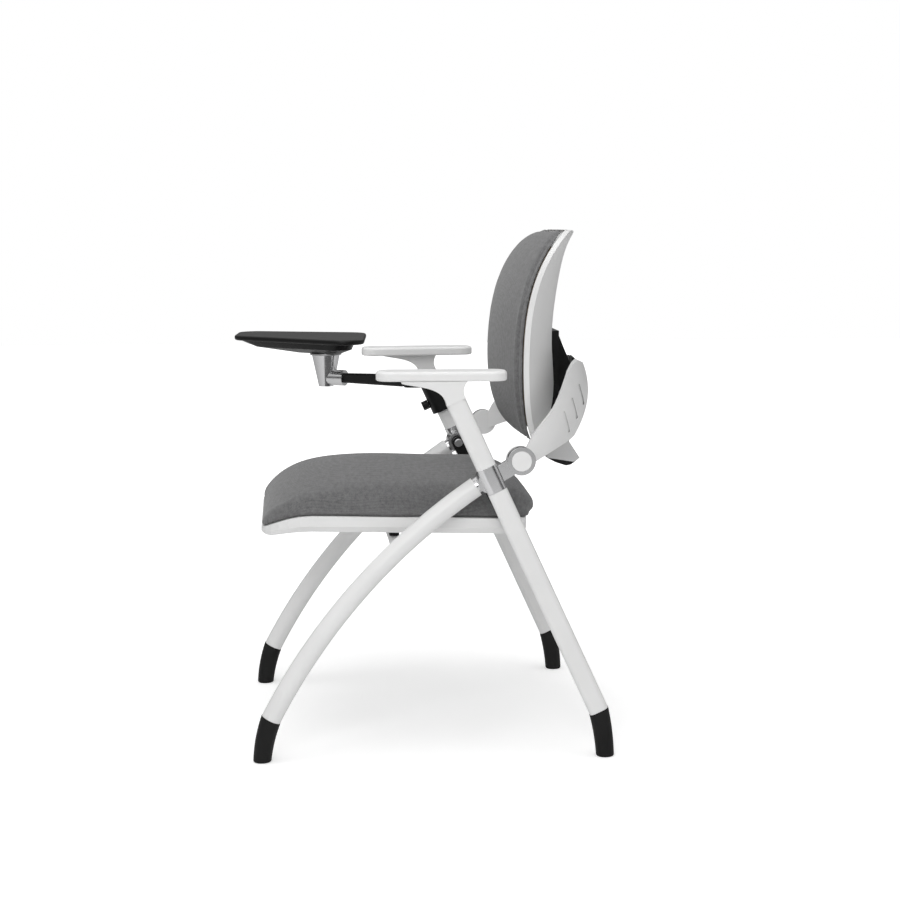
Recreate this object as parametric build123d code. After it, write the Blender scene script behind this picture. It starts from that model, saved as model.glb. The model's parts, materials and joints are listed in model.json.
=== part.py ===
from build123d import *
import os
from math import atan2, cos, degrees, hypot, radians, sin, sqrt, tan

# Training chair with a flip-up seat, a sprung back and a swing-out writing tablet.
# Millimetres. +Z is up, the front of the chair is -Y, and +X is the sitter's left.
# It is drawn about the chair's middle plane and moved at the end, so that the origin
# is on the floor in the middle of the whole chair's box, tablet included.

# Clearances
FIT = 0.05            # radial clearance of a running or plug-in fit
CURVED_FIT = 0.6      # radial clearance of a straight plug in a curved tube
GAP = 0.3             # gap between faces that move past each other

# Tubes
LEG_OD = 32.0         # round front leg tube
LEG_WALL = 2.0
POST_DEPTH = 32.0     # flat-sided rear leg and arm post, front to back
POST_WIDTH = 22.0     # the same tube, side to side
POST_CORNER = 9.0
POST_WALL = 2.0
PLUG = 24.0           # length of every plug inside a tube

# Side frames
SEAT_WIDTH = 428.0
SEAT_TO_LEG = 31.0    # seat's side to the plane of the front legs
LEG_STEP = 35.0       # front leg plane to the plane of the rear legs and arm posts
FRONT_X = SEAT_WIDTH / 2 + SEAT_TO_LEG
REAR_X = FRONT_X + LEG_STEP
REAR_LEAN = 24.5      # rear leg from the vertical, degrees
JOINT_Y = 91.0        # middle of the cast frame joint
JOINT_Z = 455.0
JOINT_LENGTH = 42.0   # cast block along the rear leg
REAR_FOOT_Y = 275.0
REAR_FOOT_HIGH = 75.0
FRONT_FOOT_Y = -275.0
FRONT_LEG_FOOT = (-260.0, 69.0)   # lower end of the front leg tube, (y, z)
FRONT_LEG_TOP = (70.0, 438.5)     # upper end of the front leg tube, (y, z)
FRONT_LEG_R = 1000.0
NECK = 20.0           # bare neck between the front leg and the knuckle pivot
KNUCKLE_R = 17.0
FOOT_STEP = 0.5       # foot proud of its tube
FOOT_TIP_D = 29.0
FOOT_ROUND = 3.0
CROSS_OD = 18.0       # cross tube between the front legs
CROSS_Y = -56.0

# Armrests
PAD_UNDER_Z = 610.5
POST_TOP_Z = PAD_UNDER_Z - 32.5   # upper end of the arm post on its axis
PAD_THICK = 15.5
PAD_LENGTH = 205.0
PAD_WIDTH = 58.0
PAD_CORNER = 24.0
PAD_Y = 14.0
PAD_X = REAR_X - 18
PAD_TOE = 4.0         # degrees, front end turned in
SUPPORT_WIDE = 24.0
SUPPORT_REACH = 85.0  # support ahead of the post axis at the pad
SCREW_D = 5.0
SCREW_HEAD_D = 9.0
SCREW_HEAD = 3.0

# Back band
CAP_Y = 138.5
CAP_Z = 482.5
CAP_R = 16.0
RING_R = 22.5
RING_THICK = 3.0
CAP_THICK = 4.5
BAND_BOLT_D = 10.0
LINK_WIDE = 26.0
LINK_THICK = 10.0
LINK_CLEAR = 0.3      # band boss to link
BAND_WALL = 10.5
# Height of each level of the band, and its depth behind the caps there
BAND_LEVELS = ((470.0, 97.0), (575.0, 146.5), (655.0, 118.0))
SLIT_WIDE = 4.0
SLIT_LONG = 40.0
SLIT_DEEP = 2.0
NOTCH_CLEAR = 4.0      # band's notch beside the mechanism's ears
TAIL_HALF = 70.0

# Back
SHELL_THICK = 6.0
SHELL_RIM = 9.0        # flat rim around the bowl of the shell
SHELL_EDGE = 4.0       # thickness of that rim
SIDE_ROLL = 22.0       # width of the cushion's rounded side
BACK_BOARD_THICK = 8.0
BACK_BOARD_BOW = 14.0  # board behind the parting line, in the middle
BACK_BOARD_IN = 24.0   # board's side inside the shell's
BACK_BOARD_LOW = 525.0
BACK_BOARD_HIGH = 815.0
RECLINE_Y = 254.0
RECLINE_Z = 600.0
RECLINE_PIN_D = 9.0
MOUNT_HALF = 40.0
EAR_IN = 14.0
EAR_THICK = 6.0
EAR_R = 11.0

# Each row is height, half width, side edge y, shell rear y in the middle,
# cushion front y near the sides, and how far its front stands proud in the middle
BACK_ROWS = (
    (497.0, 145.0, 178.0, 203.0, 171.0, 3.0),
    (515.0, 186.0, 164.0, 212.0, 156.0, 7.0),
    (560.0, 206.0, 154.0, 226.0, 144.0, 12.0),
    (640.0, 212.0, 151.0, 224.0, 140.0, 14.0),
    (720.0, 209.0, 159.0, 228.0, 149.0, 13.0),
    (780.0, 197.0, 179.0, 238.0, 168.0, 11.0),
    (815.0, 171.0, 202.0, 248.0, 188.0, 8.0),
    (842.0, 98.0, 235.0, 258.0, 227.0, 4.0),
)

# Seat
SEAT_FRONT_Y = -272.0
SEAT_REAR_Y = 184.0
SEAT_CORNER = 70.0
SEAT_SPLIT_Z = 384.0     # underside of the cushion at y = 0
SEAT_TILT = 0.032        # fall of that line towards the rear
SEAT_SHELL_DEEP = 26.5
SHELL_SIDE = 0.62        # upper share of the shell's side, which stands nearly upright
SIDE_TAPER = 6.0         # degrees that it leans in
SEAT_TAPER = 40.0        # the same for the rest of the side
SHELL_ROUND = 9.0        # rounding under the shell's front
SEAT_BEND_Y = -190.0     # ahead of this line the seat turns down
SEAT_DROP = 29.0         # front end of the cushion's underside below the rest
SHELL_DROP = 16.5        # the same for the shell's underside
SHELL_REAR_Y = 158.0     # the shell stops short of the cushion's rear
SHELL_CORNER = 24.0      # its rear corners
SHOULDER_IN = 20.0       # cushion's rounded shoulder
# Each row is y, then the cushion's crown and shoulder above SEAT_SPLIT_Z
SEAT_ROWS = (
    (SEAT_FRONT_Y + 1, -8.0, -9.6),
    (SEAT_FRONT_Y + 14, 13.0, 5.0),
    (SEAT_FRONT_Y + 44, 40.0, 28.0),
    (SEAT_FRONT_Y + 110, 63.0, 44.0),
    (SEAT_FRONT_Y + 258, 65.0, 45.0),
    (SEAT_REAR_Y - 95, 61.0, 43.0),
    (SEAT_REAR_Y - 36, 47.0, 36.0),
    (SEAT_REAR_Y - 12, 28.0, 23.0),
    (SEAT_REAR_Y - 2, 10.0, 8.0),
)
BOARD_THICK = 9.0
BOARD_INSET = 12.0
BOARD_LEDGE = 10.0       # width of the ledge that carries the board
TRAY_WALL = 5.0
CUSHION_SINK = 1.5       # foam pressed into the shell, cut away where it meets it
LUG_THICK = 4.0
LUG_WIDE = 22.0
LUG_FOOT_Y = 140.0
LUG_TAB = 46.0
PIVOT_BOLT_D = 10.0
PIVOT_HEAD_D = 15.0
PIVOT_HEAD = 4.5
BUMPER_LONG = 34.0
BUMPER_WIDE = 16.0
BUMPER_X = 150.0

# Writing tablet, on the sitter's right
SWING_REST = 31.0     # arm turned out at rest, degrees
ARM_PIVOT_Y = 4.0
TABLET_CLEAR = 2.0    # tablet above the armrest
TRAY_DEEP = 25.0      # tablet's underside to the top of its hub
HUB_HIGH = 60.0
HUB_OVER_ARM = 43.0   # top of the hub above the arm's axis
TABLET_UNDER_Z = PAD_UNDER_Z + PAD_THICK + TABLET_CLEAR
HUB_TOP_Z = TABLET_UNDER_Z - TRAY_DEEP
HUB_FOOT_Z = HUB_TOP_Z - HUB_HIGH
ARM_AXIS_Z = HUB_TOP_Z - HUB_OVER_ARM
ARM_EYE_R = 13.0
ARM_EYE_HIGH = 24.0
ARM_REACH = 182.0     # pivot to hub
ARM_TIP_HIGH = 18.0
ARM_WIDE = 16.0
STUB_D = 15.0
COLLAR_WALL = 8.0
COLLAR_LONG = 64.0
COLLAR_Z = ARM_AXIS_Z - 24
EAR_HIGH = 8.0        # collar's ear, in a pocket under the arm's eye
EAR_ROOM = 4.0        # radial room around the ear
SLEEVE_R = 15.0
SLEEVE_LONG = 30.0
SLEEVE_START = 141.0  # distance from the pivot
HUB_TOP_R = 26.5
HUB_FOOT_R = 14.0
SPINDLE_D = 10.0
SPINDLE_LONG = 26.0
PLATE_R = 30.0
PLATE_THICK = 3.0
TABLET_THICK = 10.0
TABLET_CORNER = 38.0
TABLET_EDGE = 4.0
# Corners of the top, from the hub: rear inner, rear outer, front outer, front inner
TABLET_PLAN = ((152.0, 65.0), (-113.0, 83.0), (-192.0, -166.0), (-54.0, -175.0))
# The tray under it: the share of that outline behind and ahead of the hub, at its foot, edge and top
TRAY_SHARES = ((0.36, 0.30), (0.68, 0.76), (0.71, 0.93))
TRAY_RISE = 10.0      # foot of the tray to its edge
ARM_PIN_D = 9.0
KNOB_STEM_D = 7.0
KNOB_R = 9.0
KNOB_LONG = 12.0
KNOB_Z = ARM_AXIS_Z - 34

# Derived lines of the frame
LEAN = radians(REAR_LEAN)
UP_Y, UP_Z = -sin(LEAN), cos(LEAN)


def post_point(z):
    """Point on the axis of the rear leg and arm post at a height, as (y, z)."""
    return JOINT_Y - (z - JOINT_Z) * tan(LEAN), z


def post_plane(z, side=1.0):
    """Plane square to the rear leg at a height, with its x axis to the rear."""
    y, _ = post_point(z)
    return Plane(origin=(side * REAR_X, y, z), x_dir=(0, cos(LEAN), sin(LEAN)), z_dir=(0, UP_Y, UP_Z))


def oval(grow):
    """Flat-sided tube section, grown all round."""
    return RectangleRounded(POST_DEPTH + 2 * grow, POST_WIDTH + 2 * grow, POST_CORNER + grow)


def side_solid(face, x0, x1):
    """Sketch drawn as (y, z), carried from x0 to x1."""
    return extrude(Plane.YZ.offset(x0) * face, amount=x1 - x0, dir=(1, 0, 0))


def xcyl(x0, x1, y, z, r):
    """Cylinder along X."""
    return Pos((x0 + x1) / 2, y, z) * Rot(0, 90, 0) * Cylinder(r, abs(x1 - x0))


def zcyl(x, y, z0, z1, r):
    """Upright cylinder."""
    return Pos(x, y, (z0 + z1) / 2) * Cylinder(r, abs(z1 - z0))


pieces = {}


def save(shape, name):
    pieces[name] = shape


def save_pair(shape, name):
    """Writes the sitter's left piece and its mirror image."""
    save(shape, name + "_left")
    save(mirror(shape, about=Plane.YZ), name + "_right")


# Front leg arc: the middle point follows from the two ends and the radius
(FY0, FZ0), (FY1, FZ1) = FRONT_LEG_FOOT, FRONT_LEG_TOP
CHORD = hypot(FY1 - FY0, FZ1 - FZ0)
SAG = FRONT_LEG_R - sqrt(FRONT_LEG_R ** 2 - (CHORD / 2) ** 2)
CY, CZ = (FY1 - FY0) / CHORD, (FZ1 - FZ0) / CHORD
FRONT_MID = ((FY0 + FY1) / 2 - CZ * SAG, (FZ0 + FZ1) / 2 + CY * SAG)
leg_path = ThreePointArc((FRONT_X, FY0, FZ0), (FRONT_X, *FRONT_MID), (FRONT_X, FY1, FZ1))
FOOT_DIR = leg_path % 0
TOP_DIR = leg_path % 1
KNUCKLE_Y = FY1 + NECK * TOP_DIR.Y
KNUCKLE_Z = FZ1 + NECK * TOP_DIR.Z


def leg_sweep(r):
    return sweep(Plane(origin=leg_path @ 0, z_dir=FOOT_DIR) * Circle(r), path=leg_path)


leg_solid = leg_sweep(LEG_OD / 2)
front_leg = leg_solid - leg_sweep(LEG_OD / 2 - LEG_WALL)
save_pair(front_leg, "front_leg")


# Rear leg below the cast joint and arm post above it
def post_tube(z0, z1):
    length = (z1 - z0) / cos(LEAN)
    outer = extrude(post_plane(z0) * oval(0), amount=length)
    return outer - extrude(post_plane(z0) * oval(-POST_WALL), amount=length)


HALF_RISE = JOINT_LENGTH / 2 * cos(LEAN)
save_pair(post_tube(REAR_FOOT_HIGH, JOINT_Z - HALF_RISE), "rear_leg")
save_pair(post_tube(JOINT_Z + HALF_RISE, POST_TOP_Z), "arm_post")


# Feet: the tube's section at the top, round at the floor, with a plug in the tube
def foot(top, outer, middle, plug, tip_y):
    """Foot from the tube's end plane down to the floor, through a middle section."""
    mid_z = top.origin.Z * 0.45
    mid_y = tip_y + (top.origin.Y - tip_y) * 0.28
    lean_y = top.z_dir.Y * 0.45
    mid = Plane(origin=(top.origin.X, mid_y, mid_z), x_dir=(0, 1, -lean_y), z_dir=(0, lean_y, 1))
    low = Plane(origin=(top.origin.X, tip_y, 0), x_dir=(0, 1, 0), z_dir=(0, 0, 1))
    tip = RectangleRounded(FOOT_TIP_D, FOOT_TIP_D, FOOT_TIP_D / 2 - 0.5)
    body = loft([low * tip, mid * middle, top * outer])
    body = fillet(body.edges().group_by(Axis.Z)[0], FOOT_ROUND)
    return body + extrude(top * plug, amount=PLUG)


rear_middle = RectangleRounded(
    (POST_DEPTH + FOOT_TIP_D) / 2, (POST_WIDTH + FOOT_TIP_D) / 2, (POST_CORNER + FOOT_TIP_D / 2) / 2)
rear_plug = oval(-POST_WALL - FIT)
rear_top = post_plane(REAR_FOOT_HIGH)
save_pair(foot(rear_top, oval(FOOT_STEP), rear_middle, rear_plug, REAR_FOOT_Y), "rear_foot")
LEG_SQUARE = LEG_OD + 2 * FOOT_STEP
MID_SQUARE = (LEG_SQUARE + FOOT_TIP_D) / 2
front_outer = RectangleRounded(LEG_SQUARE, LEG_SQUARE, LEG_SQUARE / 2 - 0.5)
front_middle = RectangleRounded(MID_SQUARE, MID_SQUARE, MID_SQUARE / 2 - 0.5)
front_plug = Circle(LEG_OD / 2 - LEG_WALL - CURVED_FIT)
front_top = Plane(origin=(FRONT_X, FY0, FZ0), x_dir=(0, FOOT_DIR.Z, -FOOT_DIR.Y), z_dir=FOOT_DIR)
save_pair(foot(front_top, front_outer, front_middle, front_plug, FRONT_FOOT_Y), "front_foot")

# Cast frame joint: block on the post line, plugs, knuckle with its neck, and the rear link
LINK_X0 = REAR_X - POST_WIDTH / 2 - FOOT_STEP
LINK_X1 = LINK_X0 + LINK_THICK
KNUCKLE_X = FRONT_X - LEG_OD / 2 + GAP
joint = extrude(post_plane(JOINT_Z - HALF_RISE) * oval(FOOT_STEP), amount=JOINT_LENGTH)
joint += extrude(post_plane(JOINT_Z) * oval(-POST_WALL - FIT), amount=JOINT_LENGTH / 2 + PLUG, both=True)
joint += xcyl(KNUCKLE_X, REAR_X, KNUCKLE_Y, KNUCKLE_Z, KNUCKLE_R)
neck_plane = Plane(origin=(FRONT_X, KNUCKLE_Y, KNUCKLE_Z), z_dir=-TOP_DIR)
joint += extrude(neck_plane * Circle(LEG_OD / 2 - LEG_WALL - CURVED_FIT), amount=NECK + PLUG)
LINK_RUN = hypot(CAP_Y - JOINT_Y, CAP_Z - JOINT_Z)
LINK_TILT = degrees(atan2(CAP_Z - JOINT_Z, CAP_Y - JOINT_Y))
link = SlotCenterToCenter(LINK_RUN, LINK_WIDE)
link = Pos((JOINT_Y + CAP_Y) / 2, (JOINT_Z + CAP_Z) / 2) * Rot(0, 0, LINK_TILT) * link
joint += side_solid(link, LINK_X0, LINK_X1)
joint += xcyl(LINK_X0, LINK_X1, CAP_Y, CAP_Z, RING_R)
joint -= xcyl(LINK_X0 - 1, LINK_X1 + 1, CAP_Y, CAP_Z, BAND_BOLT_D / 2 + FIT)
joint -= xcyl(KNUCKLE_X - 1, REAR_X - 6, KNUCKLE_Y, KNUCKLE_Z, PIVOT_BOLT_D / 2 + FIT)
save_pair(joint, "frame_joint")

# Cross tube, coped to the front legs
cross_end = leg_path.intersect(Plane.XZ.offset(-CROSS_Y))
CROSS_Z = cross_end.Z if isinstance(cross_end, Vector) else Vector(cross_end.center()).Z
cross = xcyl(-FRONT_X, FRONT_X, CROSS_Y, CROSS_Z, CROSS_OD / 2)
cross = cross - leg_solid - mirror(leg_solid, about=Plane.YZ)
cross = cross.solids().sort_by(SortBy.VOLUME)[-1]
save(cross, "front_cross_tube")

# Armrest support: a wing ahead of the post, a plug in it, and two screw holes
SUPPORT_Y, _ = post_point(POST_TOP_Z)
half_depth = POST_DEPTH / 2
front_low = (SUPPORT_Y - half_depth * cos(LEAN), POST_TOP_Z - half_depth * sin(LEAN))
rear_low = (SUPPORT_Y + half_depth * cos(LEAN), POST_TOP_Z + half_depth * sin(LEAN))
wing_tip = (SUPPORT_Y - SUPPORT_REACH, PAD_UNDER_Z)
rise = PAD_UNDER_Z - front_low[1]
wing = Spline(
    front_low,
    (front_low[0] - 0.13 * SUPPORT_REACH, front_low[1] + 0.5 * rise),
    (front_low[0] - 0.43 * SUPPORT_REACH, front_low[1] + 0.77 * rise),
    (wing_tip[0], PAD_UNDER_Z - 2.5),
)
heel = ThreePointArc((rear_low[0] + 3, PAD_UNDER_Z), (rear_low[0] - 3, rear_low[1] + 11), rear_low)
outline = Wire([
    Edge.make_line(rear_low, front_low),
    wing.edge(),
    Edge.make_line((wing_tip[0], PAD_UNDER_Z - 2.5), wing_tip),
    Edge.make_line(wing_tip, (rear_low[0] + 3, PAD_UNDER_Z)),
    heel.edge(),
])
support = side_solid(Face(outline), REAR_X - SUPPORT_WIDE / 2, REAR_X + SUPPORT_WIDE / 2)
support += extrude(post_plane(POST_TOP_Z) * oval(-POST_WALL - FIT), amount=-PLUG)
pad_plan = RectangleRounded(PAD_WIDTH, PAD_LENGTH, PAD_CORNER)
pad = extrude(Pos(PAD_X, PAD_Y, PAD_UNDER_Z) * Rot(0, 0, -PAD_TOE) * pad_plan, amount=PAD_THICK)
pad = fillet(pad.edges().group_by(Axis.Z)[-1], 5)
pad = fillet(pad.edges().group_by(Axis.Z)[0], 3)
SCREW_PLACES = (SUPPORT_Y - 0.45 * SUPPORT_REACH, SUPPORT_Y - 0.1 * SUPPORT_REACH)
SCREW_TOP = PAD_UNDER_Z + PAD_THICK * 0.6
screws = []
for y in SCREW_PLACES:
    low = PAD_UNDER_Z - 6
    shank = zcyl(REAR_X, y, low, SCREW_TOP, SCREW_D / 2)
    screws.append(shank + zcyl(REAR_X, y, low - SCREW_HEAD, low, SCREW_HEAD_D / 2))
    support -= zcyl(REAR_X, y, PAD_UNDER_Z - 40, PAD_UNDER_Z + 1, SCREW_D / 2 + FIT)
    support -= zcyl(REAR_X, y, PAD_UNDER_Z - 40, low, SCREW_HEAD_D / 2 + FIT)
    pad -= zcyl(REAR_X, y, PAD_UNDER_Z - 1, SCREW_TOP + FIT, SCREW_D / 2 + FIT)
save_pair(support, "armrest_support")
save_pair(pad, "armrest_pad")
save(Compound(screws + [mirror(s, about=Plane.YZ) for s in screws]), "armrest_screws")

# Back band: a wall between two barrel forms, trimmed to its side view, with bosses at the caps
BAND_HALF = LINK_X0 - LINK_CLEAR
BAND_IN = BAND_HALF - BAND_WALL
BOLT_END = BAND_IN + 3   # the bolts' holes are blind from the inside


def barrel(half, inset):
    return loft([Pos(0, CAP_Y, z) * Ellipse(half, depth - inset) for z, depth in BAND_LEVELS])


inner_barrel = barrel(BAND_IN, BAND_WALL)
wall = barrel(BAND_HALF, 0) - inner_barrel
band_skin = barrel(BAND_HALF, 0) - barrel(BAND_HALF - SLIT_DEEP, SLIT_DEEP)
NOTCH_ALIGN = (Align.CENTER, Align.CENTER, Align.MIN)
# Side view of the band from the middle of the caps: lower edge, then upper edge from the rear
BAND_UNDER = ((8, -12), (42, 4), (85, 18), (165, 10))
BAND_OVER = ((165, 134), (124, 142), (106, 147), (94, 143), (79, 124), (54, 78), (30, 51), (8, 14))


def from_cap(points):
    return [(CAP_Y + y, CAP_Z + z) for y, z in points]


under, over = from_cap(BAND_UNDER), from_cap(BAND_OVER)
band_edge = Wire([
    Spline(*under).edge(),
    Edge.make_line(under[-1], over[0]),
    Spline(*over).edge(),
    Edge.make_line(over[-1], under[0]),
])
band = wall & side_solid(Face(band_edge), -BAND_HALF - 5, BAND_HALF + 5)
for s in (1, -1):
    band += xcyl(s * BAND_IN, s * BAND_HALF, CAP_Y, CAP_Z, RING_R)
for i in range(3):
    y, z = CAP_Y + 113.5 - 16.2 * i, CAP_Z + 93 - 19.5 * i
    slit = Pos(y, z) * Rot(0, 0, 111) * SlotOverall(SLIT_LONG, SLIT_WIDE)
    band -= side_solid(slit, -BAND_HALF, BAND_HALF) & band_skin
notch_half = EAR_IN + EAR_THICK + NOTCH_CLEAR
band -= Pos(0, RECLINE_Y, RECLINE_Z + EAR_R) * Box(2 * notch_half, 120, 100, align=NOTCH_ALIGN)
for s in (1, -1):
    band -= xcyl(s * BOLT_END, s * (BAND_HALF + 1), CAP_Y, CAP_Z, BAND_BOLT_D / 2 + FIT)
save(band, "back_band")

ring = xcyl(LINK_X1, LINK_X1 + RING_THICK, CAP_Y, CAP_Z, RING_R)
ring -= xcyl(LINK_X1 - 1, LINK_X1 + RING_THICK + 1, CAP_Y, CAP_Z, CAP_R + FIT)
save_pair(ring, "band_ring")
cap = xcyl(LINK_X1, LINK_X1 + CAP_THICK, CAP_Y, CAP_Z, CAP_R)
cap = fillet(cap.edges().group_by(Axis.X)[-1], 1.2)
save_pair(cap, "band_cap")
bolt = xcyl(BOLT_END, LINK_X1, CAP_Y, CAP_Z, BAND_BOLT_D / 2)
save(Compound([bolt, mirror(bolt, about=Plane.YZ)]), "band_bolts")

# Tail under the middle of the band and the grip strip on its underside
TAIL_SIDE = ((84, 30), (126, 30), (109, 4), (128, -25), (119, -32), (71, -24))
GRIP_SIDE = ((71, -24), (119, -32), (112, -36.5), (104, -38), (86, -32))
tail = side_solid(make_face(Polyline(*from_cap(TAIL_SIDE), close=True)), -TAIL_HALF, TAIL_HALF) - band
tail = tail.solids().sort_by(SortBy.VOLUME)[-1]
save(tail, "band_tail")
grip = make_face(Polyline(*from_cap(GRIP_SIDE), close=True))
save(side_solid(grip, -TAIL_HALF, TAIL_HALF), "band_grip")

# Recline housing on the inside of the band, with a middle ear, and its pin
housing = Pos(0, RECLINE_Y + 30, RECLINE_Z - 4) * Box(2 * MOUNT_HALF, 44, 62)
housing += Pos(0, RECLINE_Y + 8, RECLINE_Z) * Box(2 * (EAR_IN - GAP), 16, 2 * EAR_R)
housing += xcyl(-EAR_IN + GAP, EAR_IN - GAP, RECLINE_Y, RECLINE_Z, EAR_R)
housing = housing & inner_barrel
housing -= xcyl(-EAR_IN, EAR_IN, RECLINE_Y, RECLINE_Z, RECLINE_PIN_D / 2 + FIT)
SLOT_DEEP = EAR_R + 13
for s in (1, -1):
    slot_x = s * (EAR_IN + EAR_THICK / 2)
    slot = Box(EAR_THICK + 2 * GAP, 2 * SLOT_DEEP, 80, align=(Align.CENTER, Align.CENTER, Align.MIN))
    housing -= Pos(slot_x, RECLINE_Y, RECLINE_Z - EAR_R - 6) * slot
save(housing, "recline_housing")
PIN_HALF = EAR_IN + EAR_THICK + 2
save(xcyl(-PIN_HALF, PIN_HALF, RECLINE_Y, RECLINE_Z, RECLINE_PIN_D / 2), "recline_pin")

# Back: level cuts through the shell, the board and the cushion
def shell_cut(z, half, edge, rear, *_):
    """Level cut of the shell: a bowl with a rim that runs front to back at each side."""
    bowl = edge + SHELL_RIM
    outer = ThreePointArc((-half + 1, bowl), (0, rear), (half - 1, bowl)).edge()
    right = Polyline((half - 1, bowl), (half, edge), (half - SHELL_EDGE, edge)).edges()
    inner = ThreePointArc((half - SHELL_EDGE, edge), (0, rear - SHELL_THICK), (-half + SHELL_EDGE, edge)).edge()
    left = Polyline((-half + SHELL_EDGE, edge), (-half, edge), (-half + 1, bowl)).edges()
    return Pos(0, 0, z) * Face(Wire([outer, *right, inner, *left]))


def board_cut(z, half, edge, *_):
    """Level cut of the board, bowed to the rear."""
    side = half - BACK_BOARD_IN
    front, rear = edge + 1.5, edge + 3.5
    mid = edge + BACK_BOARD_BOW
    behind = ThreePointArc((-side, rear), (0, mid), (side, rear))
    ahead = ThreePointArc((side, front), (0, mid - BACK_BOARD_THICK), (-side, front))
    ends = Line((side, rear), (side, front)), Line((-side, front), (-side, rear))
    return Pos(0, 0, z) * Face(Wire([behind.edge(), ends[0].edge(), ahead.edge(), ends[1].edge()]))


def cushion_cut(z, half, edge, rear, front, proud):
    side = half - 5
    back = edge - GAP
    inner = side - SIDE_ROLL
    bulge = (side - 5, front + 0.3 * (back - front))
    face = ThreePointArc((-inner, front), (0, front - proud), (inner, front))
    right = ThreePointArc((inner, front), bulge, (side, back))
    rest = ThreePointArc((side, back), (0, edge + BACK_BOARD_BOW - BACK_BOARD_THICK - GAP), (-side, back))
    left = ThreePointArc((-side, back), (-bulge[0], bulge[1]), (-inner, front))
    return Pos(0, 0, z) * Face(Wire([face.edge(), right.edge(), rest.edge(), left.edge()]))


shell = loft([shell_cut(*row) for row in BACK_ROWS])
save(shell, "back_shell")
board_high = BACK_BOARD_HIGH - BACK_BOARD_LOW
board_mid = (BACK_BOARD_HIGH + BACK_BOARD_LOW) / 2
back_board = loft([board_cut(*row) for row in BACK_ROWS]) & Pos(0, CAP_Y, board_mid) * Box(SEAT_WIDTH, 300, board_high)
save(back_board, "back_board")
save(loft([cushion_cut(*row) for row in BACK_ROWS]), "back_cushion")

# Mount on the rear of the shell: a plate with two braced ears on the recline pin
MOUNT_LOW, MOUNT_HIGH = RECLINE_Z - 62, RECLINE_Z + 72
MOUNT_REAR = RECLINE_Y - EAR_R - 8.7
plate_mid = (MOUNT_LOW + MOUNT_HIGH) / 2
mount = Pos(0, MOUNT_REAR - 10, plate_mid) * Box(2 * MOUNT_HALF, 20, MOUNT_HIGH - MOUNT_LOW)
brace = Polyline(
    (MOUNT_REAR - 1, MOUNT_HIGH), (RECLINE_Y + EAR_R - 3, RECLINE_Z + 3), (RECLINE_Y + EAR_R - 3, RECLINE_Z - 6),
    (RECLINE_Y, RECLINE_Z - EAR_R), (MOUNT_REAR - 1, RECLINE_Z - 40), close=True)
for s in (1, -1):
    x0, x1 = sorted((s * EAR_IN, s * (EAR_IN + EAR_THICK)))
    mount += side_solid(make_face(brace), x0, x1)
mount -= xcyl(-PIN_HALF, PIN_HALF, RECLINE_Y, RECLINE_Z, RECLINE_PIN_D / 2 + FIT)
mount = mount - shell
mount = mount.solids().sort_by(SortBy.VOLUME)[-1]
MOUNT_SCREWS = [(x, z) for x in (-MOUNT_HALF + 10, MOUNT_HALF - 10) for z in (MOUNT_LOW + 14, MOUNT_HIGH - 14)]
mount_screws = []
for x, z in MOUNT_SCREWS:
    head = Pos(x, MOUNT_REAR - SCREW_HEAD / 2, z) * Rot(90, 0, 0) * Cylinder(SCREW_HEAD_D / 2, SCREW_HEAD)
    mount -= Pos(x, MOUNT_REAR - SCREW_HEAD / 2, z) * Rot(90, 0, 0) * Cylinder(SCREW_HEAD_D / 2 + FIT, SCREW_HEAD)
    mount_screws.append(head)
save(mount, "back_mount")
save(Compound(mount_screws), "back_mount_screws")

# Seat: tray-shaped shell, board in its pocket, cushion on top
SEAT_LEAN = degrees(atan2(SEAT_TILT, 1))


def seat_line(y):
    """Height of the seat's straight parting line."""
    return SEAT_SPLIT_Z - SEAT_TILT * y


def seat_half(y, rear=SEAT_REAR_Y, rear_corner=SEAT_CORNER):
    """Half width of the rounded seat plan at y."""
    front = max(0.0, SEAT_FRONT_Y + SEAT_CORNER - y)
    back = max(0.0, y - rear + rear_corner)
    corner, past = (SEAT_CORNER, front) if front else (rear_corner, back)
    return SEAT_WIDTH / 2 - corner + sqrt(max(0.0, corner ** 2 - past ** 2))


def turned_down(y, drop):
    """How far the front of the seat has turned down at y."""
    past = max(0.0, SEAT_BEND_Y - y) / (SEAT_BEND_Y - SEAT_FRONT_Y)
    return drop * past ** 2


def seat_base(y):
    """Height of the parting line between the shell and the cushion."""
    return seat_line(y) - turned_down(y, SEAT_DROP)


def across(y, edges):
    return Plane(origin=(0, y, 0), x_dir=(1, 0, 0), z_dir=(0, -1, 0)) * Face(Wire(edges))


def tray_cut(y):
    """Cut across the shell, with its sides leaning in."""
    top, low = seat_base(y), seat_line(y) - SEAT_SHELL_DEEP - turned_down(y, SHELL_DROP)
    low += SHELL_ROUND * max(0.0, 1 - (y - SEAT_FRONT_Y) / (2 * SHELL_ROUND)) ** 2
    waist = top - SHELL_SIDE * (top - low)
    half = seat_half(y, SHELL_REAR_Y, SHELL_CORNER)
    waist_half = half - (top - waist) * tan(radians(SIDE_TAPER))
    foot_half = waist_half - (waist - low) * tan(radians(SEAT_TAPER))
    right = (foot_half, low), (waist_half, waist), (half, top)
    left = [(-x, z) for x, z in reversed(right)]
    return across(y, Polyline(*right, *left, close=True).edges())


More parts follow.
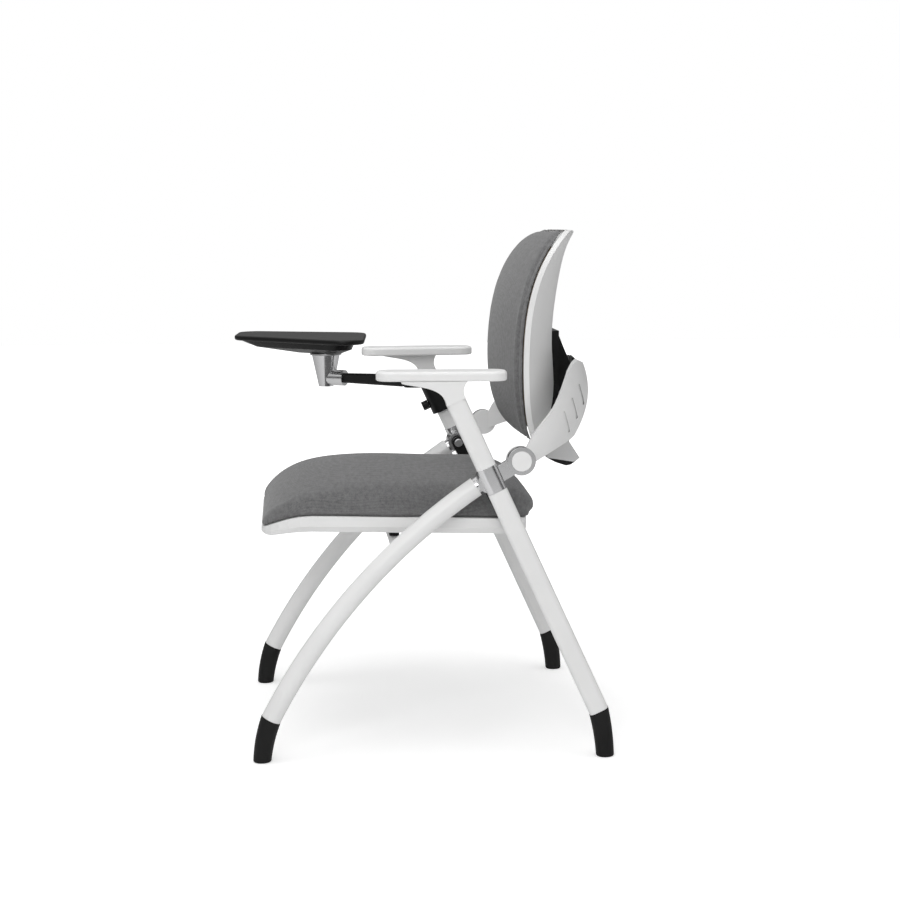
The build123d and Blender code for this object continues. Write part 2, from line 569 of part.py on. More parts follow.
def seat_cut(y, high, shoulder):
    """Cut across the cushion: flat below, drawn-in sides, crowned top."""
    half = seat_half(y) - 2
    base = seat_base(y) - CUSHION_SINK
    foot_half, top = half - 5, half - SHOULDER_IN
    edge_z = SEAT_SPLIT_Z + shoulder
    side_z = (base + edge_z) / 2
    floor = Line((-foot_half, base), (foot_half, base)).edge()
    right = ThreePointArc((foot_half, base), (half, side_z), (top, edge_z)).edge()
    crown = ThreePointArc((top, edge_z), (0, SEAT_SPLIT_Z + high), (-top, edge_z)).edge()
    left = ThreePointArc((-top, edge_z), (-half, side_z), (-foot_half, base)).edge()
    return across(y, [floor, right, crown, left])


TRAY_ROWS = [SEAT_FRONT_Y + d for d in (0.5, 3, 8, 16, 28, 44, 62, 82, 140, 240, 340)]
TRAY_ROWS += [SHELL_REAR_Y - d for d in (SHELL_CORNER, 14, 7, 2.5, 0.5)]
seat_shell = loft([tray_cut(y) for y in TRAY_ROWS], ruled=True)
BOARD_MID = (SEAT_BEND_Y + SHELL_REAR_Y) / 2
on_line = Pos(0, BOARD_MID, seat_line(BOARD_MID)) * Rot(-SEAT_LEAN, 0, 0)
BOARD_PLAN = RectangleRounded(
    SEAT_WIDTH - 4 * BOARD_INSET, SHELL_REAR_Y - SEAT_BEND_Y - 2 * BOARD_INSET, SHELL_CORNER)
board = on_line * extrude(BOARD_PLAN, amount=-BOARD_THICK)
seat_shell -= board
seat_cushion = loft([seat_cut(*row) for row in SEAT_ROWS]) - seat_shell - board
save(seat_cushion.solids().sort_by(SortBy.VOLUME)[-1], "seat_cushion")
save(board, "seat_board")
hollow = offset(BOARD_PLAN, -BOARD_LEDGE)
seat_shell -= on_line * extrude(hollow, amount=-SEAT_SHELL_DEEP + TRAY_WALL)

# Lugs from the knuckle pivots down beside the seat, with a tab under the shell
LUG_X = SEAT_WIDTH / 2 + 2
tab_y = LUG_FOOT_Y
TAB_TOP = seat_line(tab_y + LUG_WIDE / 2) - SEAT_SHELL_DEEP
LUG_RISE = KNUCKLE_Z - TAB_TOP + LUG_THICK
lug_tilt = degrees(atan2(LUG_RISE, KNUCKLE_Y - tab_y))
lug_face = SlotCenterToCenter(hypot(tab_y - KNUCKLE_Y, LUG_RISE), LUG_WIDE)
lug_face = Pos((KNUCKLE_Y + tab_y) / 2, KNUCKLE_Z - LUG_RISE / 2) * Rot(0, 0, lug_tilt) * lug_face
lug_face = lug_face & Pos(KNUCKLE_Y, TAB_TOP - LUG_THICK + 200) * Rectangle(400, 400)
lug = side_solid(lug_face, LUG_X, LUG_X + LUG_THICK)
TAB_SHIFT = LUG_X + LUG_THICK - LUG_TAB / 2
lug += Pos(TAB_SHIFT, tab_y, TAB_TOP - LUG_THICK / 2) * Box(LUG_TAB, LUG_WIDE, LUG_THICK)
lug -= xcyl(LUG_X - 1, LUG_X + LUG_THICK + 1, KNUCKLE_Y, KNUCKLE_Z, PIVOT_BOLT_D / 2 + FIT)
lug_screws = []
for dy in (-LUG_WIDE / 4, LUG_WIDE / 4):
    x, y = LUG_X + LUG_THICK - LUG_TAB + 9, tab_y + dy
    screw_top = TAB_TOP + SEAT_SHELL_DEEP - BOARD_THICK - 2
    screw = zcyl(x, y, TAB_TOP - LUG_THICK, screw_top, SCREW_D / 2)
    screw += zcyl(x, y, TAB_TOP - LUG_THICK - SCREW_HEAD, TAB_TOP - LUG_THICK, SCREW_HEAD_D / 2)
    lug_screws.append(screw)
    hole = zcyl(x, y, TAB_TOP - LUG_THICK - 1, screw_top + FIT, SCREW_D / 2 + FIT)
    lug -= hole
    seat_shell = seat_shell - hole - mirror(hole, about=Plane.YZ)
save(seat_shell, "seat_shell")
save_pair(lug, "seat_lug")
save(Compound(lug_screws + [mirror(s, about=Plane.YZ) for s in lug_screws]), "seat_lug_screws")

pivot = xcyl(LUG_X - GAP - PIVOT_HEAD, LUG_X - GAP, KNUCKLE_Y, KNUCKLE_Z, PIVOT_HEAD_D / 2)
pivot = fillet(pivot.edges().group_by(Axis.X)[0], 1.5)
pivot += xcyl(LUG_X - GAP, REAR_X - 8, KNUCKLE_Y, KNUCKLE_Z, PIVOT_BOLT_D / 2)
spacer_x0, spacer_x1 = LUG_X + LUG_THICK + GAP, KNUCKLE_X
pivot += xcyl(spacer_x0, spacer_x1, KNUCKLE_Y, KNUCKLE_Z, PIVOT_HEAD_D / 2)
save_pair(pivot, "seat_pivot_bolt")

bumper_low = CROSS_Z + CROSS_OD / 2 + GAP
bumper_top = seat_line(CROSS_Y + BUMPER_WIDE / 2) - SEAT_SHELL_DEEP
bumper = Pos(BUMPER_X, CROSS_Y, (bumper_low + bumper_top) / 2) * Box(BUMPER_LONG, BUMPER_WIDE, bumper_top - bumper_low)
save(Compound([bumper, mirror(bumper, about=Plane.YZ)]), "seat_bumpers")

# Tablet collar on the right arm post, with an ear for the swing arm and a clamp knob
RX = -REAR_X
ARM_LOW = ARM_AXIS_Z - ARM_EYE_HIGH / 2
EAR_TOP = ARM_LOW + EAR_HIGH - GAP
collar_plane = post_plane(COLLAR_Z, -1)
collar = extrude(collar_plane * oval(COLLAR_WALL), amount=COLLAR_LONG / 2, both=True)
ear_y, _ = post_point(EAR_TOP)
ear = Pos(RX, (ARM_PIVOT_Y + ear_y) / 2, EAR_TOP - EAR_HIGH / 2) * Box(2 * ARM_EYE_R, ear_y - ARM_PIVOT_Y, EAR_HIGH)
ear += zcyl(RX, ARM_PIVOT_Y, EAR_TOP - EAR_HIGH, EAR_TOP, ARM_EYE_R)
collar += ear
collar -= extrude(collar_plane * oval(FIT), amount=COLLAR_LONG, both=True)
collar -= zcyl(RX, ARM_PIVOT_Y, EAR_TOP - EAR_HIGH - 1, EAR_TOP + 1, ARM_PIN_D / 2 + FIT)
knob_y, _ = post_point(KNOB_Z)
knob_out = POST_DEPTH / 2 + COLLAR_WALL
knob_base = Plane(origin=(RX, knob_y - knob_out * cos(LEAN), KNOB_Z - knob_out * sin(LEAN)),
                  z_dir=(0, -cos(LEAN), -sin(LEAN)))
collar -= extrude(knob_base * Circle(KNOB_STEM_D / 2 + FIT), amount=COLLAR_WALL + 1, both=True)
collar = collar.solids().sort_by(SortBy.VOLUME)[-1]
save(collar, "tablet_collar")
knob = extrude(knob_base.offset(GAP) * RegularPolygon(KNOB_R, 6), amount=KNOB_LONG)
knob = fillet(knob.edges().filter_by(Axis(knob_base.origin, knob_base.z_dir)), 2.5)
knob += extrude(knob_base * Circle(KNOB_STEM_D / 2), amount=-COLLAR_WALL + 1)
knob += extrude(knob_base * Circle(KNOB_STEM_D / 2), amount=GAP + 1)
save(knob, "collar_knob")
arm_pin = zcyl(RX, ARM_PIVOT_Y, EAR_TOP - EAR_HIGH, ARM_AXIS_Z + ARM_EYE_HIGH / 2 + GAP, ARM_PIN_D / 2)
pin_head = ARM_AXIS_Z + ARM_EYE_HIGH / 2 + GAP
arm_pin += zcyl(RX, ARM_PIVOT_Y, pin_head, pin_head + 2.5, ARM_PIN_D)
save(arm_pin, "tablet_arm_pin")

# Swing arm, drawn straight ahead from the pivot and then turned out to its rest angle
turn = Pos(RX, ARM_PIVOT_Y, 0) * Rot(0, 0, -SWING_REST)
arm_side = Polyline(
    (0, ARM_AXIS_Z + ARM_EYE_HIGH / 2), (0, ARM_AXIS_Z - ARM_EYE_HIGH / 2),
    (-SLEEVE_START + GAP, ARM_AXIS_Z - ARM_TIP_HIGH / 2), (-SLEEVE_START + GAP, ARM_AXIS_Z + ARM_TIP_HIGH / 2), close=True)
arm = side_solid(make_face(arm_side), -ARM_WIDE / 2, ARM_WIDE / 2)
arm = fillet(arm.edges().filter_by(lambda e: e.length > ARM_TIP_HIGH * 3), 4)
arm += zcyl(0, 0, ARM_LOW, ARM_LOW + ARM_EYE_HIGH, ARM_EYE_R)
arm -= zcyl(0, 0, ARM_LOW - 1, ARM_LOW + ARM_EYE_HIGH + 1, ARM_PIN_D / 2 + FIT)
arm -= zcyl(0, 0, ARM_LOW - 1, ARM_LOW + EAR_HIGH, ARM_EYE_R + EAR_ROOM)
STUB_END = SLEEVE_START + SLEEVE_LONG
STUB_ROOT = SLEEVE_START - 5
arm += Pos(0, -(STUB_ROOT + STUB_END) / 2, ARM_AXIS_Z) * Rot(90, 0, 0) * Cylinder(STUB_D / 2, STUB_END - STUB_ROOT)
save(turn * arm, "tablet_arm")

# Hub: a cone with a side sleeve that turns on the arm's stub
hub_mid = (HUB_TOP_Z + HUB_FOOT_Z) / 2
hub = Pos(0, -ARM_REACH, hub_mid) * Cone(HUB_FOOT_R, HUB_TOP_R, HUB_TOP_Z - HUB_FOOT_Z)
hub += Pos(0, -(SLEEVE_START + ARM_REACH) / 2, ARM_AXIS_Z) * Rot(90, 0, 0) * Cylinder(SLEEVE_R, ARM_REACH - SLEEVE_START)
bore_end = STUB_END + GAP
hub -= Pos(0, -(SLEEVE_START - 1 + bore_end) / 2, ARM_AXIS_Z) * Rot(90, 0, 0) * Cylinder(
    STUB_D / 2 + FIT, bore_end - SLEEVE_START + 1)
hub -= zcyl(0, -ARM_REACH, HUB_TOP_Z - SPINDLE_LONG - GAP, HUB_TOP_Z + 1, SPINDLE_D / 2 + FIT)
save(turn * hub, "tablet_hub")

# Tablet: spindle and round plate on the hub, shallow tray, top
spindle = zcyl(0, -ARM_REACH, HUB_TOP_Z - SPINDLE_LONG, HUB_TOP_Z + GAP, SPINDLE_D / 2)
spindle += zcyl(0, -ARM_REACH, HUB_TOP_Z + GAP, HUB_TOP_Z + GAP + PLATE_THICK, PLATE_R)
save(turn * spindle, "tablet_spindle")
TRAY_LOW = HUB_TOP_Z + GAP + PLATE_THICK
HUB_X = RX - ARM_REACH * sin(radians(SWING_REST))
HUB_Y = ARM_PIVOT_Y - ARM_REACH * cos(radians(SWING_REST))


def tablet_plan(behind, ahead, z):
    """Outline of the tablet, scaled about the hub by one share behind it and one ahead."""
    shares = (behind, behind, ahead, ahead)
    corners = [(x * k, y * k) for (x, y), k in zip(TABLET_PLAN, shares)]
    face = make_face(Polyline(*corners, close=True))
    face = fillet(face.vertices(), TABLET_CORNER * min(behind, ahead))
    return Pos(HUB_X, HUB_Y, z) * face


top = extrude(tablet_plan(1.0, 1.0, TABLET_UNDER_Z), amount=TABLET_THICK)
top = fillet(top.edges().group_by(Axis.Z)[-1], TABLET_EDGE)
top = fillet(top.edges().group_by(Axis.Z)[0], TABLET_EDGE)
tray_levels = (TRAY_LOW, TRAY_LOW + TRAY_RISE, TABLET_UNDER_Z)
tray = loft([tablet_plan(*shares, z) for shares, z in zip(TRAY_SHARES, tray_levels)], ruled=True)
tablet_screws = []
for k in range(3):
    x = HUB_X + PLATE_R * 0.68 * cos(radians(90 + 120 * k))
    y = HUB_Y + PLATE_R * 0.68 * sin(radians(90 + 120 * k))
    screw_top = TABLET_UNDER_Z + TABLET_THICK / 2
    tablet_screws.append(zcyl(x, y, TRAY_LOW, screw_top, SCREW_D / 2))
    tray -= zcyl(x, y, TRAY_LOW - 1, TABLET_UNDER_Z + 1, SCREW_D / 2 + FIT)
    top -= zcyl(x, y, TABLET_UNDER_Z - 1, screw_top + FIT, SCREW_D / 2 + FIT)
save(top, "tablet_top")
save(tray, "tablet_tray")
save(Compound(tablet_screws), "tablet_screws")

# The origin goes to the middle of the whole chair's box, on the floor
os.makedirs("parts", exist_ok=True)
boxes = [shape.bounding_box() for shape in pieces.values()]
MID_X = (min(b.min.X for b in boxes) + max(b.max.X for b in boxes)) / 2
MID_Y = (min(b.min.Y for b in boxes) + max(b.max.Y for b in boxes)) / 2
to_origin = Pos(-MID_X, -MID_Y, 0)
for name, shape in pieces.items():
    export_step(to_origin * shape, f"parts/{name}.step")
print(f"moved by {-MID_X:.4f}, {-MID_Y:.4f}; seat pivot at y {KNUCKLE_Y:.4f}, z {KNUCKLE_Z:.4f}")
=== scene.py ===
import json
import math

import bpy
import numpy as np
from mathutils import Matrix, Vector
from mathutils.bvhtree import BVHTree


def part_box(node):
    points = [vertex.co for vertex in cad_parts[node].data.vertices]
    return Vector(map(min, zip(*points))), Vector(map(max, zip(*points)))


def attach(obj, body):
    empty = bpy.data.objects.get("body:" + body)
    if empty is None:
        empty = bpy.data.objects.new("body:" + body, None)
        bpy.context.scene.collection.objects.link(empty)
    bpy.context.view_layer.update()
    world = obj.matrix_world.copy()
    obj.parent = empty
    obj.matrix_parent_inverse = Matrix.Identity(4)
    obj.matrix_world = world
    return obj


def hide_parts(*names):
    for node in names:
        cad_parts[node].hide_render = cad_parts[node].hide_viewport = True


# Looks of the training chair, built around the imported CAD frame. Metres, +Z up, the sitter faces -Y.

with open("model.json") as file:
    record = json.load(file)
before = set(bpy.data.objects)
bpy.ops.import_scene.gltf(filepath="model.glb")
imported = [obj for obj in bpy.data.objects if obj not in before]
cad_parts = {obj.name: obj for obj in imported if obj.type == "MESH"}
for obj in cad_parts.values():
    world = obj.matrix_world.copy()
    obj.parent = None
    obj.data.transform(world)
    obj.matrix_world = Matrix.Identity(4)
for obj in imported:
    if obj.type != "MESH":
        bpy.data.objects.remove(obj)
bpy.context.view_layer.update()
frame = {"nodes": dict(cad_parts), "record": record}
scene = bpy.context.scene
nodes = frame["nodes"]

# The chair's own middle, midway between its four feet. The tablet puts the frame's origin to one side of it.
MID_X = (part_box("rear_foot_right")[0].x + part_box("rear_foot_left")[1].x) / 2
MID_Y = (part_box("front_foot_left")[0].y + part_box("rear_foot_left")[1].y) / 2

# Camera, fitted to the photograph. It turns about a point behind the chair's middle.
CAM_TURN = math.radians(7.0788)     # ahead of square to the chair's side
CAM_PITCH = math.radians(7.5619)    # looking down
CAM_AWAY = 3.006012
CAM_HIGH = 0.862594
CAM_AIM_Y = 0.146692
CAM_LENS = 70.0
CAM_SENSOR = 36.0
CAM_SHIFT_X = -0.0611
CAM_CLIP = 60.0

# Painted and moulded finishes. Noise scales are per metre.
NOISE_RANGE = (0.3, 0.7)            # the part of a noise's range that carries a change
MOTTLE_SCALE, MOTTLE_DETAIL = 9.0, 4.0
GLOSS_SCALE, GLOSS_DETAIL = 60.0, 3.0
GLOSS_LESS, GLOSS_MORE = 0.04, 0.05
GRAIN_DETAIL = 2.0
GRAIN_HEIGHT = 0.0004
EDGE_RADIUS = 0.0006                # edges look rounded by this much
EDGE_SAMPLES = 4

# Cloth of the cushions
THREAD = 0.0016                     # pitch of the weave
THREAD_WOBBLE = 0.6
THREAD_DETAIL = 3.0
WAVE_LENGTH = 0.314                 # of Blender's wave texture at scale 1
FIBRES = dict(scale=700.0, detail=4.0, rough=0.7)
SLUBS = dict(scale=130.0, detail=4.0, rough=0.75, stretch=(0.5, 1.2, 1.2))
COLOUR_SHARES = (0.14, 0.40, 0.46)  # of threads, fibres and slubs in the colour
HEIGHT_SHARES = (0.6, 0.4)          # of threads and fibres in the relief
CLOTH_RANGE = (0.38, 0.62)
CLOTH_RELIEF, CLOTH_HEIGHT = 0.35, 0.0005

# Form of the cushions
VOXEL = 0.0038
WELD = 1e-5
SIM_FRAMES = 20
SIM_SETTINGS = dict(quality=4, mass=0.2, tension_stiffness=12, compression_stiffness=12,
                    bending_stiffness=1.5, use_pressure=True, uniform_pressure_force=4.0)
SHRINK = 0.003                      # drawn in before the cloth swells
SEAT_CAP, BACK_CAP = 0.006, 0.005   # the furthest that a point may swell
EVEN_ROUNDS, EVEN_LEAST = 4, 0.25   # smoothing of the remeshed form, and its least share
EASE_ROUNDS = 14                    # smoothing after the cloth
HELD, FREE = 0.002, 0.016           # held up to the first distance from shell or board, free from the second
# Lines pressed into the pads: distance from the shell, width and depth
SEAT_LINES = ((0.002, 0.0022, 0.0012),)
BACK_LINES = ((0.002, 0.0022, 0.0009), (0.0125, 0.0028, 0.0024))

# Stage
FLOOR_HALF = 9.0
FLOOR_NEAR, FLOOR_FAR = 0.30, 1.5   # the floor's own shade fades to white between these distances
FLOOR_LIFT = 0.32                   # white that is added close to the chair
FLOOR_MOTTLE, FLOOR_DETAIL = 2.0, 2.0
WORLD_LIGHT = 0.44
SKY_LOW, SKY_HIGH = 0.10, 1.0       # what reflections see at eye level and overhead
SKY_FROM, SKY_TO = 0.1, 0.7         # upward share of the directions between which that changes
LAMP_AIM = (0, 0, 0.45)
# Lamps: place from the chair's middle, width and power
LAMPS = {
    "top_light": ((0.3, -0.3, 3.0), 2.6, 34),
    "key_light": ((2.8, -0.7, 1.7), 1.8, 30),
    "rear_light": ((1.2, 2.6, 1.8), 1.8, 4),
}


# Materials

def map_range(tree, value, low, high, out_low, out_high):
    """Turns a range of one value into another. The ends may be numbers or other outputs."""
    node = tree.nodes.new("ShaderNodeMapRange")
    for name, end in zip(("From Min", "From Max", "To Min", "To Max"), (low, high, out_low, out_high)):
        if isinstance(end, (int, float)):
            node.inputs[name].default_value = end
        else:
            tree.links.new(end, node.inputs[name])
    tree.links.new(value, node.inputs["Value"])
    return node.outputs["Result"]


class Paint:
    """A procedural material: a Principled shader with helpers for its detail."""

    def __init__(self, name, **sockets):
        self.material = bpy.data.materials.new(name)
        self.material.use_nodes = True
        self.tree = self.material.node_tree
        self.shader = self.tree.nodes["Principled BSDF"]
        self.coords = self.add("ShaderNodeTexCoord").outputs["Object"]
        for socket, value in sockets.items():
            self.shader.inputs[socket.replace("_", " ")].default_value = value

    def add(self, kind, **inputs):
        node = self.tree.nodes.new(kind)
        for socket, value in inputs.items():
            node.inputs[socket.replace("_", " ")].default_value = value
        return node

    def link(self, out, into):
        self.tree.links.new(out, into)

    def noise(self, scale, detail, stretch=None, rough=0.5):
        node = self.add("ShaderNodeTexNoise", Scale=scale, Detail=detail, Roughness=rough)
        where = self.coords
        if stretch:
            mapping = self.add("ShaderNodeMapping", Scale=stretch)
            self.link(where, mapping.inputs["Vector"])
            where = mapping.outputs["Vector"]
        self.link(where, node.inputs["Vector"])
        return node.outputs["Fac"]

    def threads(self, axis):
        node = self.add("ShaderNodeTexWave", Scale=WAVE_LENGTH / THREAD, Distortion=THREAD_WOBBLE,
                        Detail_Scale=THREAD_DETAIL)
        node.bands_direction = axis
        self.link(self.coords, node.inputs["Vector"])
        return node.outputs["Fac"]

    def math(self, what, a, b):
        node = self.add("ShaderNodeMath")
        node.operation = what
        for value, socket in zip((a, b), node.inputs):
            if isinstance(value, (int, float)):
                socket.default_value = value
            else:
                self.link(value, socket)
        return node.outputs[0]

    def mix(self, values, shares):
        parts = [self.math("MULTIPLY", value, share) for value, share in zip(values, shares)]
        total = parts[0]
        for part in parts[1:]:
            total = self.math("ADD", total, part)
        return total

    def colours(self, value, dark, light, low, high):
        ramp = self.add("ShaderNodeValToRGB")
        for stop, place, colour in zip(ramp.color_ramp.elements, (low, high), (dark, light)):
            stop.position = place
            stop.color = (*colour, 1)
        self.link(value, ramp.inputs["Fac"])
        self.link(ramp.outputs["Color"], self.shader.inputs["Base Color"])

    def roughness(self, value, low, high):
        self.link(map_range(self.tree, value, *NOISE_RANGE, low, high), self.shader.inputs["Roughness"])

    def bump(self, height, strength, distance, edge=None):
        node = self.add("ShaderNodeBump", Strength=strength, Distance=distance)
        self.link(height, node.inputs["Height"])
        if edge:
            bevel = self.add("ShaderNodeBevel", Radius=edge)
            bevel.samples = EDGE_SAMPLES
            self.link(bevel.outputs["Normal"], node.inputs["Normal"])
        self.link(node.outputs["Normal"], self.shader.inputs["Normal"])


def moulded(name, shades, rough, grain, depth, **sockets):
    """Paint, metal or plastic: faint mottling, uneven gloss and a fine surface grain."""
    paint = Paint(name, **sockets)
    paint.colours(paint.noise(MOTTLE_SCALE, MOTTLE_DETAIL), *shades, *NOISE_RANGE)
    paint.roughness(paint.noise(GLOSS_SCALE, GLOSS_DETAIL), rough - GLOSS_LESS, rough + GLOSS_MORE)
    paint.bump(paint.noise(grain, GRAIN_DETAIL), depth, GRAIN_HEIGHT, EDGE_RADIUS)
    return paint.material


def woven(name, shades):
    """Close heather weave: crossing threads, mixed fibres and slow shade changes."""
    cloth = Paint(name, Roughness=0.92, Sheen_Weight=0.2, Sheen_Roughness=0.55, Specular_IOR_Level=0.2)
    threads = cloth.threads("X")
    for axis in ("Y", "Z"):
        threads = cloth.math("ADD", threads, cloth.threads(axis))
    threads = cloth.math("MULTIPLY", threads, 1 / 3)
    fibres = cloth.noise(**FIBRES)
    slubs = cloth.noise(**SLUBS)
    cloth.colours(cloth.mix((threads, fibres, slubs), COLOUR_SHARES), *shades, *CLOTH_RANGE)
    cloth.bump(cloth.mix((threads, fibres), HEIGHT_SHARES), CLOTH_RELIEF, CLOTH_HEIGHT)
    return cloth.material


def greys(dark, light, tint=0.0):
    return [(value, value, value * (1 + tint)) for value in (dark, light)]


WHITE = greys(0.76, 0.80, -0.004)
WOOD = ((0.36, 0.25, 0.14), (0.50, 0.36, 0.22))
# Finishes: dark and light shade, roughness, scale and strength of the grain, and other sockets
FINISHES = {
    "white_paint": (WHITE, 0.34, 1100.0, 0.05, dict(Coat_Weight=0.15)),
    "white_plastic": (WHITE, 0.42, 1600.0, 0.08, {}),
    # grey_plastic is painted shade: the band's lower lip is white plastic, darkened to grey for the shade it
    # lies in
    "grey_plastic": (greys(0.54, 0.58), 0.45, 1600.0, 0.08, {}),
    "chrome": (greys(0.62, 0.68, 0.01), 0.17, 700.0, 0.02, dict(Metallic=1.0)),
    "black_plastic": (greys(0.006, 0.009), 0.36, 1500.0, 0.12, dict(Specular_IOR_Level=0.22)),
    "black_laminate": (greys(0.006, 0.010), 0.38, 900.0, 0.06, dict(Specular_IOR_Level=0.2)),
    "black_rubber": (greys(0.007, 0.011), 0.52, 900.0, 0.12, dict(Specular_IOR_Level=0.2)),
    "black_paint": (greys(0.007, 0.010), 0.36, 1300.0, 0.06, dict(Specular_IOR_Level=0.3)),
    "steel": (greys(0.48, 0.56, 0.01), 0.30, 800.0, 0.06, dict(Metallic=1.0)),
    "plywood": (WOOD, 0.70, 300.0, 0.2, {}),
}
paints = {name: moulded(name, *finish, **sockets) for name, (*finish, sockets) in FINISHES.items()}
paints["grey_fabric"] = woven("grey_fabric", greys(0.095, 0.18, 0.01))

slot_of = {row["node"]: row["material_slot"] for row in frame["record"]["subparts"]}
for name, piece in nodes.items():
    piece.data.materials.clear()
    piece.data.materials.append(paints[slot_of[name]])


# Soft pieces

def new_object(name, data):
    piece = bpy.data.objects.new(name, data)
    scene.collection.objects.link(piece)
    return piece


def evaluated(piece):
    return piece.evaluated_get(bpy.context.evaluated_depsgraph_get())


def apply_modifiers(piece):
    mesh = bpy.data.meshes.new_from_object(evaluated(piece))
    piece.modifiers.clear()
    old = piece.data
    piece.data = mesh
    bpy.data.meshes.remove(old)


def points_of(mesh):
    co = np.zeros(len(mesh.vertices) * 3)
    mesh.vertices.foreach_get("co", co)
    return co.reshape(-1, 3)


def set_points(mesh, co):
    mesh.vertices.foreach_set("co", np.ascontiguousarray(co).ravel())
    mesh.update()


def normals_of(mesh):
    no = np.zeros(len(mesh.vertices) * 3)
    mesh.vertex_normals.foreach_get("vector", no)
    return no.reshape(-1, 3)


def smooth_points(mesh, co, rounds):
    """Evens out a mesh: each round moves a point half the way to the middle of its neighbours."""
    edges = np.zeros(len(mesh.edges) * 2, int)
    mesh.edges.foreach_get("vertices", edges)
    a, b = edges.reshape(-1, 2).T
    count = np.bincount(np.concatenate([a, b]), minlength=len(co))[:, None]
    for _ in range(rounds):
        total = np.zeros_like(co)
        np.add.at(total, a, co[b])
        np.add.at(total, b, co[a])
        co = (co + total / count) / 2
    return co


def swell(piece, cap):
    """Blows a mesh up as cloth, and returns how each point moved, by no more than the cap."""
    before = points_of(piece.data)
    cloth = piece.modifiers.new("cloth", "CLOTH")
    for setting, value in SIM_SETTINGS.items():
        setattr(cloth.settings, setting, value)
    cloth.settings.effector_weights.gravity = 0
    cloth.collision_settings.use_self_collision = False
    for step in range(1, SIM_FRAMES + 1):
        scene.frame_set(step)
    moved = points_of(evaluated(piece).data) - before
    piece.modifiers.clear()
    scene.frame_set(1)
    far = np.linalg.norm(moved, axis=1)[:, None]
    return moved * np.minimum(1, cap / np.maximum(far, 1e-9))


def inflate(node, name, free, cap):
    """A padded copy of a CAD cushion: remeshed, drawn in and blown up as cloth.
    free(points) gives how far each point may leave its place, from 0 where it is held to 1."""
    mesh = nodes[node].data.copy()
    mesh.materials.clear()
    piece = new_object(name, mesh)
    piece.modifiers.new("weld", "WELD").merge_threshold = WELD
    remesh = piece.modifiers.new("remesh", "REMESH")
    remesh.mode = "VOXEL"
    remesh.voxel_size = VOXEL
    apply_modifiers(piece)
    mesh = piece.data
    rough = points_of(mesh)
    loose = free(rough)[:, None]
    even = np.maximum(loose, EVEN_LEAST)
    start = even * smooth_points(mesh, rough, EVEN_ROUNDS) + (1 - even) * rough
    set_points(mesh, start)
    drawn = start - normals_of(mesh) * SHRINK * loose
    set_points(mesh, drawn)
    blown = drawn + swell(piece, cap) * loose
    set_points(mesh, loose * smooth_points(mesh, blown, EASE_ROUNDS) + (1 - loose) * blown)
    fine = piece.modifiers.new("fine", "SUBSURF")
    fine.levels = fine.render_levels = 1
    apply_modifiers(piece)
    for poly in piece.data.polygons:
        poly.use_smooth = True
    return piece


def ease(value, low, high):
    """0 below low, 1 above high, and a smooth rise between them."""
    t = np.clip((value - low) / (high - low), 0, 1)
    return t * t * (3 - 2 * t)


def surface_of(node):
    return BVHTree.FromObject(nodes[node], bpy.context.evaluated_depsgraph_get())


def gaps_to(surface, points):
    return np.array([surface.find_nearest(Vector(p))[3] for p in points])


def sew(piece, surface, lines):
    """Presses lines into a pad. Each line is its distance from the surface, its width and its depth."""
    mesh = piece.data
    co = points_of(mesh)
    gaps = gaps_to(surface, co)
    depth = sum(deep * np.exp(-((gaps - at) / wide) ** 2) for at, wide, deep in lines)
    set_points(mesh, co - normals_of(mesh) * depth[:, None])


def pad(cushion, name, body, shell, board, lines, cap):
    """A padded piece in place of a CAD cushion, held where it lies on its shell and board."""
    surfaces = surface_of(shell), surface_of(board)

    def free(points):
        return ease(np.minimum(*(gaps_to(surface, points) for surface in surfaces)), HELD, FREE)

    piece = inflate(cushion, name, free, cap)
    sew(piece, surfaces[0], lines)
    piece.data.materials.append(paints["grey_fabric"])
    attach(piece, body)
    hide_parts(cushion)


pad("seat_cushion", "seat_pad", "seat", "seat_shell", "seat_board", SEAT_LINES, SEAT_CAP)
pad("back_cushion", "back_pad", "backrest", "back_shell", "back_board", BACK_LINES, BACK_CAP)


# Stage: pale floor, white surround, soft light

def near_chair(x, y, z):
    return MID_X + x, MID_Y + y, z


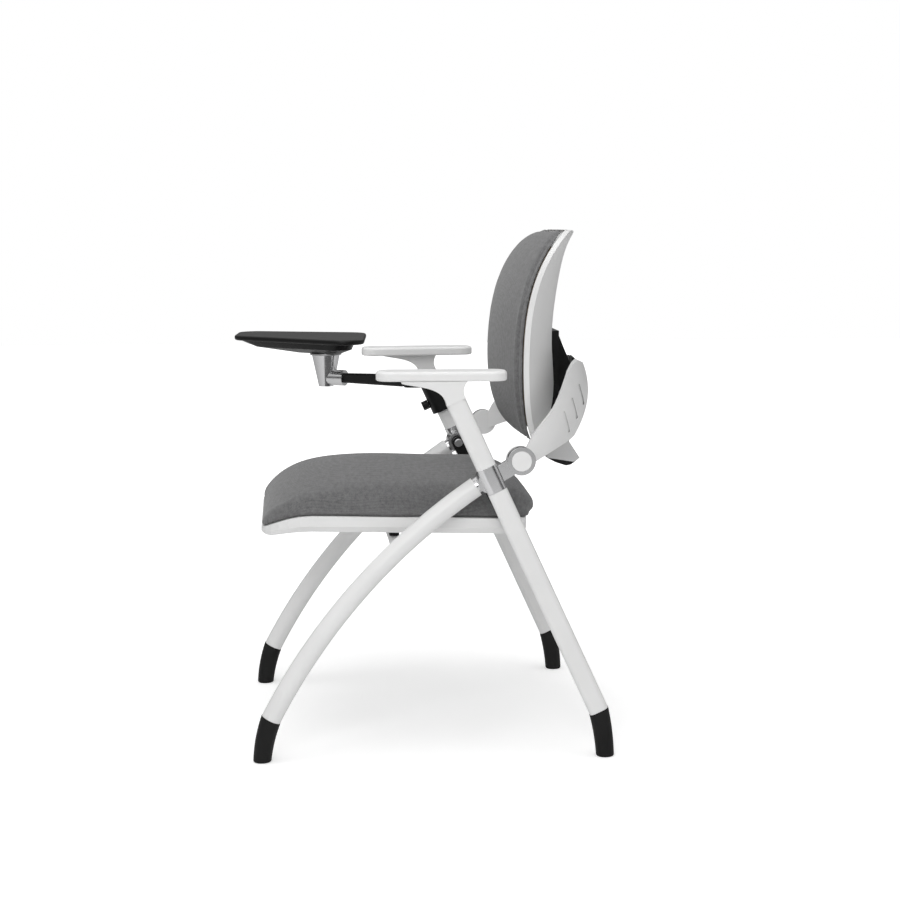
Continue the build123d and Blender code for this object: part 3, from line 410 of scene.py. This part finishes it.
floor_mesh = bpy.data.meshes.new("floor")
floor_mesh.from_pydata([(x * FLOOR_HALF, y * FLOOR_HALF, 0) for x, y in ((-1, -1), (1, -1), (1, 1), (-1, 1))],
                       [], [(0, 1, 2, 3)])
floor = new_object("floor", floor_mesh)
floor_paint = Paint("floor", Roughness=0.9, Specular_IOR_Level=0.1, Emission_Color=(1, 1, 1, 1))
floor_paint.colours(floor_paint.noise(FLOOR_MOTTLE, FLOOR_DETAIL), *greys(0.90, 0.91), *NOISE_RANGE)
reach = floor_paint.add("ShaderNodeVectorMath")
reach.operation = "DISTANCE"
reach.inputs[1].default_value = near_chair(0, 0, 0)
floor_paint.link(floor_paint.coords, reach.inputs[0])
white = map_range(floor_paint.tree, reach.outputs["Value"], FLOOR_NEAR, FLOOR_FAR, FLOOR_LIFT, 1.0)
seen = floor_paint.add("ShaderNodeLightPath").outputs["Is Camera Ray"]
floor_paint.link(floor_paint.math("MULTIPLY", seen, white), floor_paint.shader.inputs["Emission Strength"])
floor_mesh.materials.append(floor_paint.material)

# The camera sees white. Reflections see a studio, dim at eye level and bright overhead.
world = bpy.data.worlds.new("world")
world.use_nodes = True
scene.world = world
sky = world.node_tree
background = sky.nodes["Background"]
background.inputs["Color"].default_value = (1, 1, 1, 1)
ray = sky.nodes.new("ShaderNodeLightPath").outputs
split = sky.nodes.new("ShaderNodeSeparateXYZ")
sky.links.new(sky.nodes.new("ShaderNodeTexCoord").outputs["Generated"], split.inputs["Vector"])
studio = map_range(sky, split.outputs["Z"], SKY_FROM, SKY_TO, SKY_LOW, SKY_HIGH)
strength = map_range(sky, ray["Is Glossy Ray"], 0, 1, WORLD_LIGHT, studio)
strength = map_range(sky, ray["Is Camera Ray"], 0, 1, strength, 1.0)
sky.links.new(strength, background.inputs["Strength"])


def look(piece, forward):
    piece.rotation_euler = forward.to_track_quat("-Z", "Y").to_euler()


for name, (place, width, power) in LAMPS.items():
    light = bpy.data.lights.new(name, "AREA")
    light.shape = "DISK"
    light.size = width
    light.energy = power
    lamp = new_object(name, light)
    lamp.location = near_chair(*place)
    look(lamp, Vector(near_chair(*LAMP_AIM)) - Vector(near_chair(*place)))

camera_data = bpy.data.cameras.new("camera")
camera_data.lens = CAM_LENS
camera_data.sensor_width = CAM_SENSOR
camera_data.shift_x = CAM_SHIFT_X
camera_data.clip_end = CAM_CLIP
camera = new_object("camera", camera_data)
across, along = math.cos(CAM_TURN), math.sin(CAM_TURN)
camera.location = near_chair(CAM_AWAY * across, CAM_AIM_Y - CAM_AWAY * along, CAM_HIGH)
level = math.cos(CAM_PITCH)
look(camera, Vector((-across * level, along * level, -math.sin(CAM_PITCH))))
scene.camera = camera
scene.view_settings.view_transform = "Standard"
